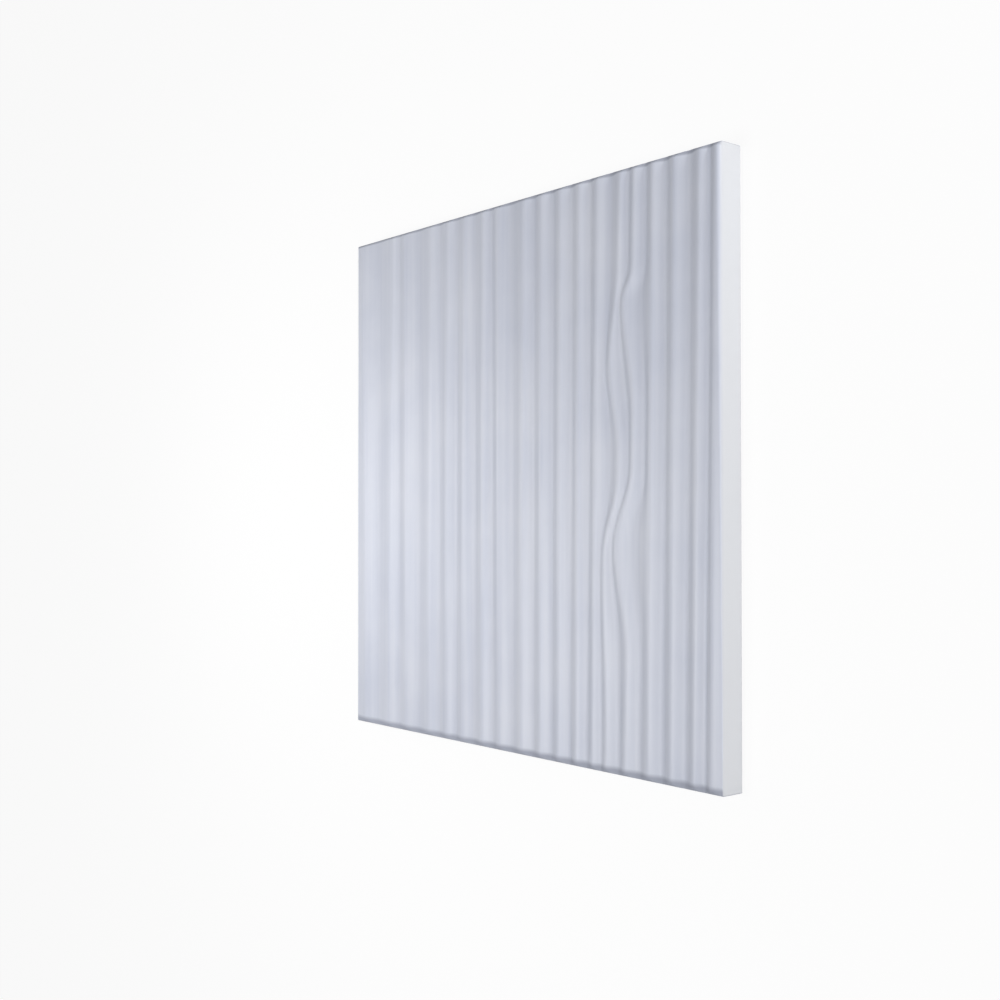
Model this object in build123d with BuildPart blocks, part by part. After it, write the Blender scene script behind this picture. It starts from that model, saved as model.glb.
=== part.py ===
from build123d import *

import os
from itertools import cycle
from math import ceil

# Acrylic wall panel: one cast sheet with a flat back and a carved face of upright waves,
# lying on its back. X runs across the waves, Y along them, Z out of the face.

# Driving dimensions in millimetres
sheet_width = 300.0
sheet_length = 300.0
sheet_thickness = 15.0  # back to the crests
wave_depth = 2.5  # crest to valley of a full wave
full_wave = 13.0  # crest spacing under which the valleys get shallower
left_depth_near = 0.5  # share of the depth that is left along the left side, at its near end
left_depth_far = 0.3  # and at its far end
edge_radius = 3.0  # round-over between the face and the four sides
skim = 0.3  # the crests lie this far under the face of the blank sheet

# Crest lines run straight from the near side of the sheet to the far side. The first lies
# just off the left side, and the gaps start over where the sheet is wider than the lists.
first_crest = -10.5
near_gaps = (
    21.5, 24.0, 19.0, 22.0, 17.5, 14.5, 18.0, 15.0, 18.5, 15.5,
    14.0, 14.0, 12.0, 9.5, 13.5, 15.5, 15.0, 14.5, 10.5, 23.5,
)
far_gaps = (
    17.5, 32.0, 12.5, 26.0, 16.5, 16.0, 17.0, 12.0, 22.5, 14.5,
    15.0, 14.5, 13.5, 16.5, 9.5, 12.5, 14.0, 16.0, 10.0, 22.5,
)

# Two neighbouring crests part round an eye, as in wood grain. Each is shifted sideways by
# these amounts at its turning points along the sheet, counted from the middle.
eye_turns = {
    14: ((-140.0, 0.0), (-42.0, -5.0), (-4.0, 4.0), (10.0, 4.0), (54.0, -4.0), (102.0, 0.0)),
    15: ((-90.0, 0.0), (-36.0, -9.0), (2.0, 2.0), (30.0, 2.0), (85.0, -6.5), (100.0, 0.0)),
}

# The carved sections lie this far apart along the waves and run past the sheet's sides
station_spacing = 8.0
overrun = 15.0


def ease(start, end, share):
    """Value between two others, level at both."""
    return start + (end - start) * share**2 * (3 - 2 * share)


def eye_shift(crest, y):
    """Sideways shift of a crest round the eye."""
    turns = eye_turns.get(crest, ())
    for (y0, shift0), (y1, shift1) in zip(turns, turns[1:]):
        if y0 <= y <= y1:
            return ease(shift0, shift1, (y - y0) / (y1 - y0))
    return 0.0


def crest_pairs():
    """Places of each crest on the near and the far side of the sheet."""
    near = far = first_crest - sheet_width / 2
    pairs = [(near, far)]
    gaps = cycle(zip(near_gaps, far_gaps))
    while min(near, far) < sheet_width / 2 + overrun:
        near_gap, far_gap = next(gaps)
        near += near_gap
        far += far_gap
        pairs.append((near, far))
    return pairs


def crests_at(y):
    """Places of the crests across the sheet at one station."""
    far_share = y / sheet_length + 0.5
    lines = [near + (far - near) * far_share for near, far in crest_pairs()]
    return [x + eye_shift(crest, y) for crest, x in enumerate(lines)]


def valley_depth(x, y, gap):
    """Depth of a valley in the middle of a gap between two crests."""
    far_share = y / sheet_length + 0.5
    right_share = x / sheet_width + 0.5
    left_depth = left_depth_near + (left_depth_far - left_depth_near) * far_share
    share = left_depth + (1.0 - left_depth) * right_share
    return wave_depth * min(1.0, gap / full_wave) * share


def wave_points(y):
    """Crests and valleys of the face at one station, in turn from left to right."""
    crests = crests_at(y)
    points = [Vector(crests[0], y, sheet_thickness)]
    for left, right in zip(crests, crests[1:]):
        middle = (left + right) / 2
        depth = valley_depth(middle, y, right - left)
        points.append(Vector(middle, y, sheet_thickness - depth))
        points.append(Vector(right, y, sheet_thickness))
    return points


def flank(start, end):
    """Curve from a crest to a valley or back, level at both ends."""
    third = Vector((end.X - start.X) / 3, 0, 0)
    return Bezier(start, start + third, end - third, end)


def carved_section(y):
    """Section of the carving at one station, closed below the back of the sheet.

    Each flank stays an edge of its own, so that it becomes a face of its own."""
    points = wave_points(y)
    flanks = [flank(start, end) for start, end in zip(points, points[1:])]
    left_foot = Vector(points[0].X, y, -overrun)
    right_foot = Vector(points[-1].X, y, -overrun)
    below = Polyline(points[-1], right_foot, left_foot, points[0])
    return Face(Wire([*flanks, *below.edges()]))


# Sections of the carving, from the near side of the sheet to the far side
carved_length = sheet_length + 2 * overrun
steps = ceil(carved_length / station_spacing)
sections = [carved_section(carved_length * (step / steps - 0.5)) for step in range(steps + 1)]

# The sheet: a blank with its face edges rounded over, carved down to the waves
with BuildPart() as panel:
    Box(
        sheet_width,
        sheet_length,
        sheet_thickness + skim,
        align=(Align.CENTER, Align.CENTER, Align.MIN),
    )
    fillet(panel.faces().sort_by(Axis.Z)[-1].edges(), edge_radius)
    loft(sections, mode=Mode.INTERSECT)

panel.part.label = "panel"
os.makedirs("parts", exist_ok=True)
export_step(panel.part, "parts/panel.step")
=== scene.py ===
from itertools import cycle
from math import cos, pi, radians, sin

import bpy
import numpy as np
from mathutils import Matrix, Vector


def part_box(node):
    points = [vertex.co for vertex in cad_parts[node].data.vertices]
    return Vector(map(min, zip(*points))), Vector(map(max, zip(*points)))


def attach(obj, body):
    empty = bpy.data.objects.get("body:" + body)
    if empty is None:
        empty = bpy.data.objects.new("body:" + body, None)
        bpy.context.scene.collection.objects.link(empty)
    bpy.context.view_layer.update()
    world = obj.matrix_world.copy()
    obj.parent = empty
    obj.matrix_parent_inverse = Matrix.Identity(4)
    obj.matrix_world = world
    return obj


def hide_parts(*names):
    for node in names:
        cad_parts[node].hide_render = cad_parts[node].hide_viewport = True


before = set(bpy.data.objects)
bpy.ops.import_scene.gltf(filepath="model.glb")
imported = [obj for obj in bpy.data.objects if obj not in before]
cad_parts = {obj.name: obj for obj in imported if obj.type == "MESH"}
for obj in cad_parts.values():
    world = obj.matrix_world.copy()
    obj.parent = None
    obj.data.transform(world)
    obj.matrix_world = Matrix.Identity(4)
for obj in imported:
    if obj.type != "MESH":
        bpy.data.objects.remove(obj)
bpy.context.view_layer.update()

# The carved panel, in metres, as it lies on its back: X across the waves, Y along them
MM = 0.001
LOW, HIGH = (np.array(corner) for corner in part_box("panel"))
WIDTH, LENGTH, THICKNESS = HIGH - LOW
WAVE_DEPTH = 2.5 * MM  # crest to valley of a full wave
FULL_WAVE = 13.0 * MM  # crest spacing under which the valleys get shallower
LEFT_DEPTH_NEAR = 0.5  # share of the depth that is left along the left side, at its near end
LEFT_DEPTH_FAR = 0.3  # and at its far end
EDGE_RADIUS = 3.0 * MM  # round-over between the face and the four sides
SKIM = 0.3 * MM  # the crests lie this far under the face of the blank sheet
ROUND_FOOT = THICKNESS + SKIM - EDGE_RADIUS  # height at which the round-over starts
OVERRUN = 15.0 * MM  # the crests are laid out this far past the right side
BACK_EASE = 0.4 * MM  # broken edge round the back
CORNER_EASE = 0.6 * MM  # rounding of the upright corners

# Crest lines in millimetres: the first lies just off the left side, and the gaps between
# them on the near and the far side of the sheet start over past the end of the lists
FIRST_CREST = -10.5
NEAR_GAPS = (
    21.5, 24.0, 19.0, 22.0, 17.5, 14.5, 18.0, 15.0, 18.5, 15.5,
    14.0, 14.0, 12.0, 9.5, 13.5, 15.5, 15.0, 14.5, 10.5, 23.5,
)
FAR_GAPS = (
    17.5, 32.0, 12.5, 26.0, 16.5, 16.0, 17.0, 12.0, 22.5, 14.5,
    15.0, 14.5, 13.5, 16.5, 9.5, 12.5, 14.0, 16.0, 10.0, 22.5,
)

# Sideways shifts of the two crests that part round the eye, at their turning points along
# the sheet, in millimetres from its middle
EYE_TURNS = {
    14: ((-140.0, 0.0), (-42.0, -5.0), (-4.0, 4.0), (10.0, 4.0), (54.0, -4.0), (102.0, 0.0)),
    15: ((-90.0, 0.0), (-36.0, -9.0), (2.0, 2.0), (30.0, 2.0), (85.0, -6.5), (100.0, 0.0)),
}

# Spacing of the mesh across and along the waves, the steps round the edge, and the angle
# between two faces past which the edge between them is shaded as sharp
COLUMN = 0.65 * MM
ROW = 2.5 * MM
ROUND_STEPS = 10
SHARP_ANGLE = radians(40)

# Colours of the acrylic
BODY_DARK = (0.528, 0.556, 0.646, 1.0)
BODY_PALE = (0.602, 0.624, 0.697, 1.0)
# Painted shade in the valleys: a darker colour laid into the bottom of each wave
VALLEY_SHADE_COLOR = (0.45, 0.48, 0.60, 1.0)
VALLEY_SHADE_SHARE = 0.03  # share of the painted valley shade at the bottom of a full wave
# Painted shade along the two ends of the panel
END_SHADE_COLOR = (0.365, 0.385, 0.455, 1.0)
# Painted edge glow: the sides are drawn paler and more neutral than the body
SIDE_GLOW_COLOR = (0.640, 0.652, 0.680, 1.0)
BACK_COLOR = (0.545, 0.570, 0.650, 1.0)

# Dark bands of painted shade beside the two ends, each of which fades out over its inner half
NEAR_SHADE_BAND = 4.4 * MM
FAR_SHADE_BAND = 2.2 * MM

# How squarely a surface faces left or right where the painted edge glow of the sides starts and where
# it is full, and how far up it faces where the back colour is full and where it ends
SIDE_FACING = (0.75, 1.0)
BACK_FACING = (-0.5, -0.2)

# Texture of the acrylic: scales per metre, and the heights of its relief
CLOUD_SCALE = 26.0
LINE_SCALE = (280.0, 5.0, 280.0)
GRAIN_SCALE = 4000.0
TWO_NOISES = (0.7, 1.3)  # usual range of two noises added up
LINE_RELIEF = 0.08 * MM
GRAIN_RELIEF = 0.01 * MM

# Gloss of the acrylic
SATIN = (0.36, 0.44)  # range of the roughness
VALLEY_DULLNESS = 0.04  # added to it in the valleys
VALLEY_TOP = 0.2  # share of the wave depth up to which a valley is fully dull
END_DULLNESS = 0.3  # added to it on the ends, which carry painted shade
BODY_GLOSS = 0.5
END_GLOSS = 0.1
ACRYLIC_IOR = 1.49

# The white floor: half its side, how far it lies under the panel, its own colour, and the
# share of plain white in what is seen of it
FLOOR_HALF = 4.0
FLOOR_DROP = 0.5 * MM
FLOOR_COLOR = (0.9, 0.9, 0.9, 1.0)
FLOOR_ROUGHNESS = 0.8
FLOOR_GLOW = 0.92

# The even surroundings: the light that they give, and how white they are seen
WHITE = (1.0, 1.0, 1.0, 1.0)
WORLD_LIGHT = 0.09
WORLD_SEEN = 0.94

# Softboxes: name, place, point that it faces, width, height and watts
SOFTBOXES = (
    ("key", (2.6, -0.5, 1.75), (0.0, 0.0, 0.0), 0.9, 0.9, 51.0),
    ("side", (0.56, 0.4, 0.06), (0.15, 0.12, 0.01), 0.2, 0.1, 1.15),
    ("front", (-0.06, -0.14, 0.65), (-0.06, -0.06, 0.0), 0.3, 0.3, 1.72),
    ("left", (-0.3, -0.01, 0.265), (-0.14, 0.0, 0.0), 0.2, 0.2, 0.42),
)

# The camera, turned about the waves and pitched along them
CAMERA_PLACE = (0.5447, -0.0251, 0.4712)
CAMERA_TURN = radians(50.44)
CAMERA_PITCH = radians(0.98)
IMAGE_SIZE = 1000
FOCAL_PIXELS = 1307.0
SENSOR = 36.0

# Sockets of a mix node that blends colours
MIX_SHARE, MIX_FIRST, MIX_SECOND, MIX_RESULT = 0, 6, 7, 2


def ease(share):
    """Share of the way from one level stretch to the next."""
    return share**2 * (3.0 - 2.0 * share)


def eye_shift(crest, y):
    """Sideways shift of a crest round the eye."""
    turns = EYE_TURNS.get(crest, ())
    for (y0, shift0), (y1, shift1) in zip(turns, turns[1:]):
        if y0 <= y / MM <= y1:
            return (shift0 + (shift1 - shift0) * ease((y / MM - y0) / (y1 - y0))) * MM
    return 0.0


def crest_pairs():
    """Places of each crest on the near and the far side of the sheet."""
    near = far = FIRST_CREST * MM - WIDTH / 2
    pairs = [(near, far)]
    gaps = cycle(zip(NEAR_GAPS, FAR_GAPS))
    while min(near, far) < WIDTH / 2 + OVERRUN:
        near_gap, far_gap = next(gaps)
        near += near_gap * MM
        far += far_gap * MM
        pairs.append((near, far))
    return pairs


def wave_heights(xs, y, pairs):
    """Heights of the carved face along one station."""
    far_share = y / LENGTH + 0.5
    lines = [near + (far - near) * far_share for near, far in pairs]
    crests = np.array([x + eye_shift(crest, y) for crest, x in enumerate(lines)])
    index = np.clip(np.searchsorted(crests, xs, side="right") - 1, 0, len(crests) - 2)
    left = crests[index]
    gap = crests[index + 1] - left
    left_depth = LEFT_DEPTH_NEAR + (LEFT_DEPTH_FAR - LEFT_DEPTH_NEAR) * far_share
    right_share = (left + gap / 2) / WIDTH + 0.5
    depth = WAVE_DEPTH * np.minimum(1.0, gap / FULL_WAVE)
    depth *= left_depth + (1.0 - left_depth) * right_share
    return THICKNESS - depth * ease(1.0 - np.abs(2.0 * (xs - left) / gap - 1.0))


def grid_lines(half, spacing):
    """Grid places from side to side, crowded together round the edges."""
    turns = np.linspace(0.0, pi / 2, ROUND_STEPS + 1)
    edge = EDGE_RADIUS * (1.0 - np.cos(turns))
    count = round((2 * half - 2 * EDGE_RADIUS) / spacing)
    inner = np.linspace(-half + EDGE_RADIUS, half - EDGE_RADIUS, count + 1)[1:-1]
    return np.concatenate([-half + edge, inner, (half - edge)[::-1]])


def round_over(places, half):
    """Highest that the rounded edge lets the face stand at these places."""
    inset = np.clip(half - np.abs(places), 0.0, EDGE_RADIUS)
    return ROUND_FOOT + np.sqrt(EDGE_RADIUS**2 - (EDGE_RADIUS - inset) ** 2)


def ease_corner(x, y):
    """Place in plan with the sheet's upright corners slightly rounded."""
    core_x, core_y = WIDTH / 2 - CORNER_EASE, LENGTH / 2 - CORNER_EASE
    out_x, out_y = abs(x) - core_x, abs(y) - core_y
    if out_x <= 0.0 or out_y <= 0.0:
        return x, y
    pull = max(out_x, out_y) / np.hypot(out_x, out_y)
    return np.copysign(core_x + out_x * pull, x), np.copysign(core_y + out_y * pull, y)


def face_verts(xs, ys):
    """Points of the carved face and the rounded edges, row by row."""
    edge_x = round_over(xs, WIDTH / 2)
    edge_y = round_over(ys, LENGTH / 2)
    pairs = crest_pairs()
    verts = []
    for y, top in zip(ys, edge_y):
        heights = np.minimum(np.minimum(wave_heights(xs, y, pairs), edge_x), top)
        verts += [(*ease_corner(x, y), z) for x, z in zip(xs, heights)]
    return verts


def grid_faces(across, along):
    """Faces between the points of the grid, row by row."""
    corners = [j * across + i for j in range(along - 1) for i in range(across - 1)]
    return [(a, a + 1, a + across + 1, a + across) for a in corners]


def grid_rim(across, along):
    """Outer points of the grid, in order round it from the near left corner."""
    near = list(range(across))
    right = [j * across + across - 1 for j in range(1, along)]
    far = [(along - 1) * across + i for i in range(across - 2, -1, -1)]
    left = [j * across for j in range(along - 2, 0, -1)]
    return near + right + far + left


def lower_rings(rim):
    """Points round the foot of the sides, and round the back inside its broken edge."""
    inset_x = 1.0 - 2.0 * BACK_EASE / WIDTH
    inset_y = 1.0 - 2.0 * BACK_EASE / LENGTH
    foot = [(x, y, BACK_EASE) for x, y, _ in rim]
    back = [(x * inset_x, y * inset_y, 0.0) for x, y, _ in rim]
    return foot, back


def panel_mesh():
    """Face, sides and back of the panel as one closed mesh."""
    xs = grid_lines(WIDTH / 2, COLUMN)
    ys = grid_lines(LENGTH / 2, ROW)
    verts = face_verts(xs, ys)
    faces = grid_faces(len(xs), len(ys))
    ring = grid_rim(len(xs), len(ys))
    for points in lower_rings([verts[v] for v in ring]):
        lower = list(range(len(verts), len(verts) + len(points)))
        verts += points
        for k, v in enumerate(ring):
            n = (k + 1) % len(ring)
            faces.append((v, lower[k], lower[n], ring[n]))
        ring = lower
    faces.append(ring[::-1])
    mesh = bpy.data.meshes.new("wave_panel")
    mesh.from_pydata(verts, [], faces)
    mesh.validate()
    mesh.shade_smooth()
    mesh.set_sharp_from_angle(angle=SHARP_ANGLE)
    return mesh


def new_material(name):
    """New material with its nodes, links and shader."""
    material = bpy.data.materials.new(name)
    material.use_nodes = True
    nodes = material.node_tree.nodes
    return material, nodes, material.node_tree.links, nodes["Principled BSDF"]


def axes_of(nodes, links, vector):
    """Parts of a vector along X, Y and Z."""
    node = nodes.new("ShaderNodeSeparateXYZ")
    links.new(vector, node.inputs[0])
    return node.outputs


def noise(nodes, links, vector, scale, detail):
    """Noise over a vector, as a factor about one half."""
    texture = nodes.new("ShaderNodeTexNoise")
    texture.inputs["Scale"].default_value = scale
    texture.inputs["Detail"].default_value = detail
    links.new(vector, texture.inputs["Vector"])
    return texture.outputs["Fac"]


def stretched(nodes, links, vector, scale):
    """Vector scaled by an amount of its own along each axis."""
    mapping = nodes.new("ShaderNodeMapping")
    mapping.inputs["Scale"].default_value = scale
    links.new(vector, mapping.inputs["Vector"])
    return mapping.outputs["Vector"]


def ramp(nodes, links, value, low, high, out_low=0.0, out_high=1.0):
    """Value brought from one range to another and held at its ends."""
    node = nodes.new("ShaderNodeMapRange")
    node.inputs["From Min"].default_value = low
    node.inputs["From Max"].default_value = high
    node.inputs["To Min"].default_value = out_low
    node.inputs["To Max"].default_value = out_high
    links.new(value, node.inputs["Value"])
    return node.outputs["Result"]


def total(nodes, links, first, second):
    """Two values added up."""
    node = nodes.new("ShaderNodeMath")
    node.operation = "ADD"
    links.new(first, node.inputs[0])
    links.new(second, node.inputs[1])
    return node.outputs[0]


def size_of(nodes, links, value):
    """Value without its sign."""
    node = nodes.new("ShaderNodeMath")
    node.operation = "ABSOLUTE"
    links.new(value, node.inputs[0])
    return node.outputs[0]


def blend(nodes, links, share, first, second):
    """Colour between two others, each a colour or the output of a node."""
    node = nodes.new("ShaderNodeMix")
    node.data_type = "RGBA"
    links.new(share, node.inputs[MIX_SHARE])
    for socket, color in ((node.inputs[MIX_FIRST], first), (node.inputs[MIX_SECOND], second)):
        if isinstance(color, tuple):
            socket.default_value = color
        else:
            links.new(color, socket)
    return node.outputs[MIX_RESULT]


def bump(nodes, links, height, distance, below=None):
    """Normal roughened by a height, on top of another bump if there is one."""
    node = nodes.new("ShaderNodeBump")
    node.inputs["Distance"].default_value = distance
    links.new(height, node.inputs["Height"])
    if below is not None:
        links.new(below, node.inputs["Normal"])
    return node.outputs["Normal"]


def shaded_end_bands(nodes, links, y):
    """1 on the two ends of the panel, falling to 0 past the bands beside them, where shade is
    painted.
    """
    near_end, far_end = -LENGTH / 2, LENGTH / 2
    near = ramp(nodes, links, y, near_end + NEAR_SHADE_BAND / 2, near_end + NEAR_SHADE_BAND, 1.0, 0.0)
    far = ramp(nodes, links, y, far_end - FAR_SHADE_BAND, far_end - FAR_SHADE_BAND / 2)
    return total(nodes, links, near, far)


def acrylic_color(nodes, links, mottle, crest, end, side, back):
    """Colour of the body, with painted shade in the valleys and along the ends, painted edge glow on
    the sides, and the back laid over it in turn.
    """
    body = blend(nodes, links, mottle, BODY_DARK, BODY_PALE)
    # Painted shade in the valleys, strongest at the bottom of a wave
    valley = ramp(nodes, links, crest, 0.0, 1.0, VALLEY_SHADE_SHARE, 0.0)
    carved = blend(nodes, links, valley, body, VALLEY_SHADE_COLOR)
    # Painted shade along the two ends
    end_shaded = blend(nodes, links, end, carved, END_SHADE_COLOR)
    # Painted edge glow on the sides
    glowing_sides = blend(nodes, links, side, end_shaded, SIDE_GLOW_COLOR)
    return blend(nodes, links, back, glowing_sides, BACK_COLOR)


def acrylic_roughness(nodes, links, speckle, crest, end):
    """Satin all over, a little duller in the valleys and dull on the ends, which carry painted shade.
    """
    satin = ramp(nodes, links, speckle, *TWO_NOISES, *SATIN)
    valley = ramp(nodes, links, crest, VALLEY_TOP, 1.0, VALLEY_DULLNESS, 0.0)
    sawn = ramp(nodes, links, end, 0.0, 1.0, 0.0, END_DULLNESS)
    return total(nodes, links, total(nodes, links, satin, valley), sawn)


def acrylic_material():
    """Satin acrylic with faint clouds and fine lines along the waves, painted shade in the valleys
    and along the ends, and painted edge glow on the sides.
    """
    material, nodes, links, shader = new_material("satin_acrylic")
    coordinates = nodes.new("ShaderNodeTexCoord")
    place = coordinates.outputs["Object"]
    axes = axes_of(nodes, links, place)
    facing = axes_of(nodes, links, coordinates.outputs["Normal"])

    clouds = noise(nodes, links, place, CLOUD_SCALE, detail=3.0)
    lines = noise(nodes, links, stretched(nodes, links, place, LINE_SCALE), 1.0, detail=5.0)
    grain = noise(nodes, links, place, GRAIN_SCALE, detail=2.0)
    mottle = ramp(nodes, links, total(nodes, links, clouds, lines), *TWO_NOISES)
    speckle = total(nodes, links, clouds, grain)

    crest = ramp(nodes, links, axes["Z"], THICKNESS - WAVE_DEPTH, THICKNESS)
    # Bands along the ends that carry painted shade and extra dullness
    end = shaded_end_bands(nodes, links, axes["Y"])
    # Where the sides get their painted edge glow
    side = ramp(nodes, links, size_of(nodes, links, facing["X"]), *SIDE_FACING)
    back = ramp(nodes, links, facing["Z"], *BACK_FACING, 1.0, 0.0)

    color = acrylic_color(nodes, links, mottle, crest, end, side, back)
    links.new(color, shader.inputs["Base Color"])
    links.new(acrylic_roughness(nodes, links, speckle, crest, end), shader.inputs["Roughness"])
    gloss = ramp(nodes, links, end, 0.0, 1.0, BODY_GLOSS, END_GLOSS)
    links.new(gloss, shader.inputs["Specular IOR Level"])
    combed = bump(nodes, links, lines, LINE_RELIEF)
    links.new(bump(nodes, links, grain, GRAIN_RELIEF, combed), shader.inputs["Normal"])
    shader.inputs["IOR"].default_value = ACRYLIC_IOR
    return material


def seen_directly(nodes, links):
    """1 for rays from the camera, in reflections and through glass, else 0."""
    path = nodes.new("ShaderNodeLightPath")
    seen = path.outputs["Is Camera Ray"]
    for name in ("Is Glossy Ray", "Is Transmission Ray"):
        either = nodes.new("ShaderNodeMath")
        either.operation = "MAXIMUM"
        links.new(seen, either.inputs[0])
        links.new(path.outputs[name], either.inputs[1])
        seen = either.outputs[0]
    return seen


def floor_material():
    """White floor that keeps soft shadows."""
    material, nodes, links, shader = new_material("white_floor")
    shader.inputs["Base Color"].default_value = FLOOR_COLOR
    shader.inputs["Roughness"].default_value = FLOOR_ROUGHNESS
    glow = nodes.new("ShaderNodeEmission")
    share = nodes.new("ShaderNodeMath")
    share.operation = "MULTIPLY"
    share.inputs[1].default_value = FLOOR_GLOW
    links.new(seen_directly(nodes, links), share.inputs[0])
    mix = nodes.new("ShaderNodeMixShader")
    links.new(share.outputs[0], mix.inputs[0])
    links.new(shader.outputs[0], mix.inputs[1])
    links.new(glow.outputs[0], mix.inputs[2])
    links.new(mix.outputs[0], nodes["Material Output"].inputs["Surface"])
    return material


def studio_world():
    """Even white surroundings: a plain level of light, seen as white."""
    world = bpy.data.worlds.new("studio")
    world.use_nodes = True
    nodes, links = world.node_tree.nodes, world.node_tree.links
    light = nodes["Background"]
    light.inputs["Color"].default_value = WHITE
    light.inputs["Strength"].default_value = WORLD_LIGHT
    white = nodes.new("ShaderNodeBackground")
    white.inputs["Color"].default_value = WHITE
    white.inputs["Strength"].default_value = WORLD_SEEN
    mix = nodes.new("ShaderNodeMixShader")
    links.new(seen_directly(nodes, links), mix.inputs[0])
    links.new(light.outputs[0], mix.inputs[1])
    links.new(white.outputs[0], mix.inputs[2])
    links.new(mix.outputs[0], nodes["World Output"].inputs["Surface"])
    return world


def add_object(name, data):
    """New object in the scene."""
    thing = bpy.data.objects.new(name, data)
    bpy.context.scene.collection.objects.link(thing)
    return thing


def add_floor():
    """Square white floor, just under the panel."""
    mesh = bpy.data.meshes.new("floor")
    signs = ((-1, -1), (1, -1), (1, 1), (-1, 1))
    corners = [(x * FLOOR_HALF, y * FLOOR_HALF, 0.0) for x, y in signs]
    mesh.from_pydata(corners, [], [(0, 1, 2, 3)])
    mesh.materials.append(floor_material())
    floor = add_object("floor", mesh)
    floor.location.z = -FLOOR_DROP
    return floor


def add_softbox(name, place, target, width, height, watts):
    """Rectangular lamp that faces a point."""
    light = bpy.data.lights.new(name, "AREA")
    light.shape = "RECTANGLE"
    light.size = width
    light.size_y = height
    light.energy = watts
    lamp = add_object(name, light)
    lamp.location = place
    lamp.rotation_euler = (Vector(target) - Vector(place)).to_track_quat("-Z", "Y").to_euler()


def add_camera():
    """Camera that looks down across the sheet from its right side, with the waves upright."""
    right = Vector((cos(CAMERA_TURN), 0.0, -sin(CAMERA_TURN)))
    level_back = Vector((sin(CAMERA_TURN), 0.0, cos(CAMERA_TURN)))
    level_up = Vector((0.0, 1.0, 0.0))
    up = cos(CAMERA_PITCH) * level_up + sin(CAMERA_PITCH) * level_back
    back = cos(CAMERA_PITCH) * level_back - sin(CAMERA_PITCH) * level_up
    turn = Matrix((right, up, back)).transposed().to_4x4()
    lens = bpy.data.cameras.new("camera")
    lens.sensor_width = SENSOR
    lens.lens = FOCAL_PIXELS / IMAGE_SIZE * SENSOR
    camera = add_object("camera", lens)
    camera.matrix_world = Matrix.Translation(CAMERA_PLACE) @ turn
    return camera


panel = add_object("wave_panel", panel_mesh())
panel.data.materials.append(acrylic_material())
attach(panel, "root")
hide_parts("panel")

floor = add_floor()
for softbox in SOFTBOXES:
    add_softbox(*softbox)
bpy.context.scene.world = studio_world()
bpy.context.scene.camera = add_camera()
bpy.context.scene.view_settings.view_transform = "Standard"
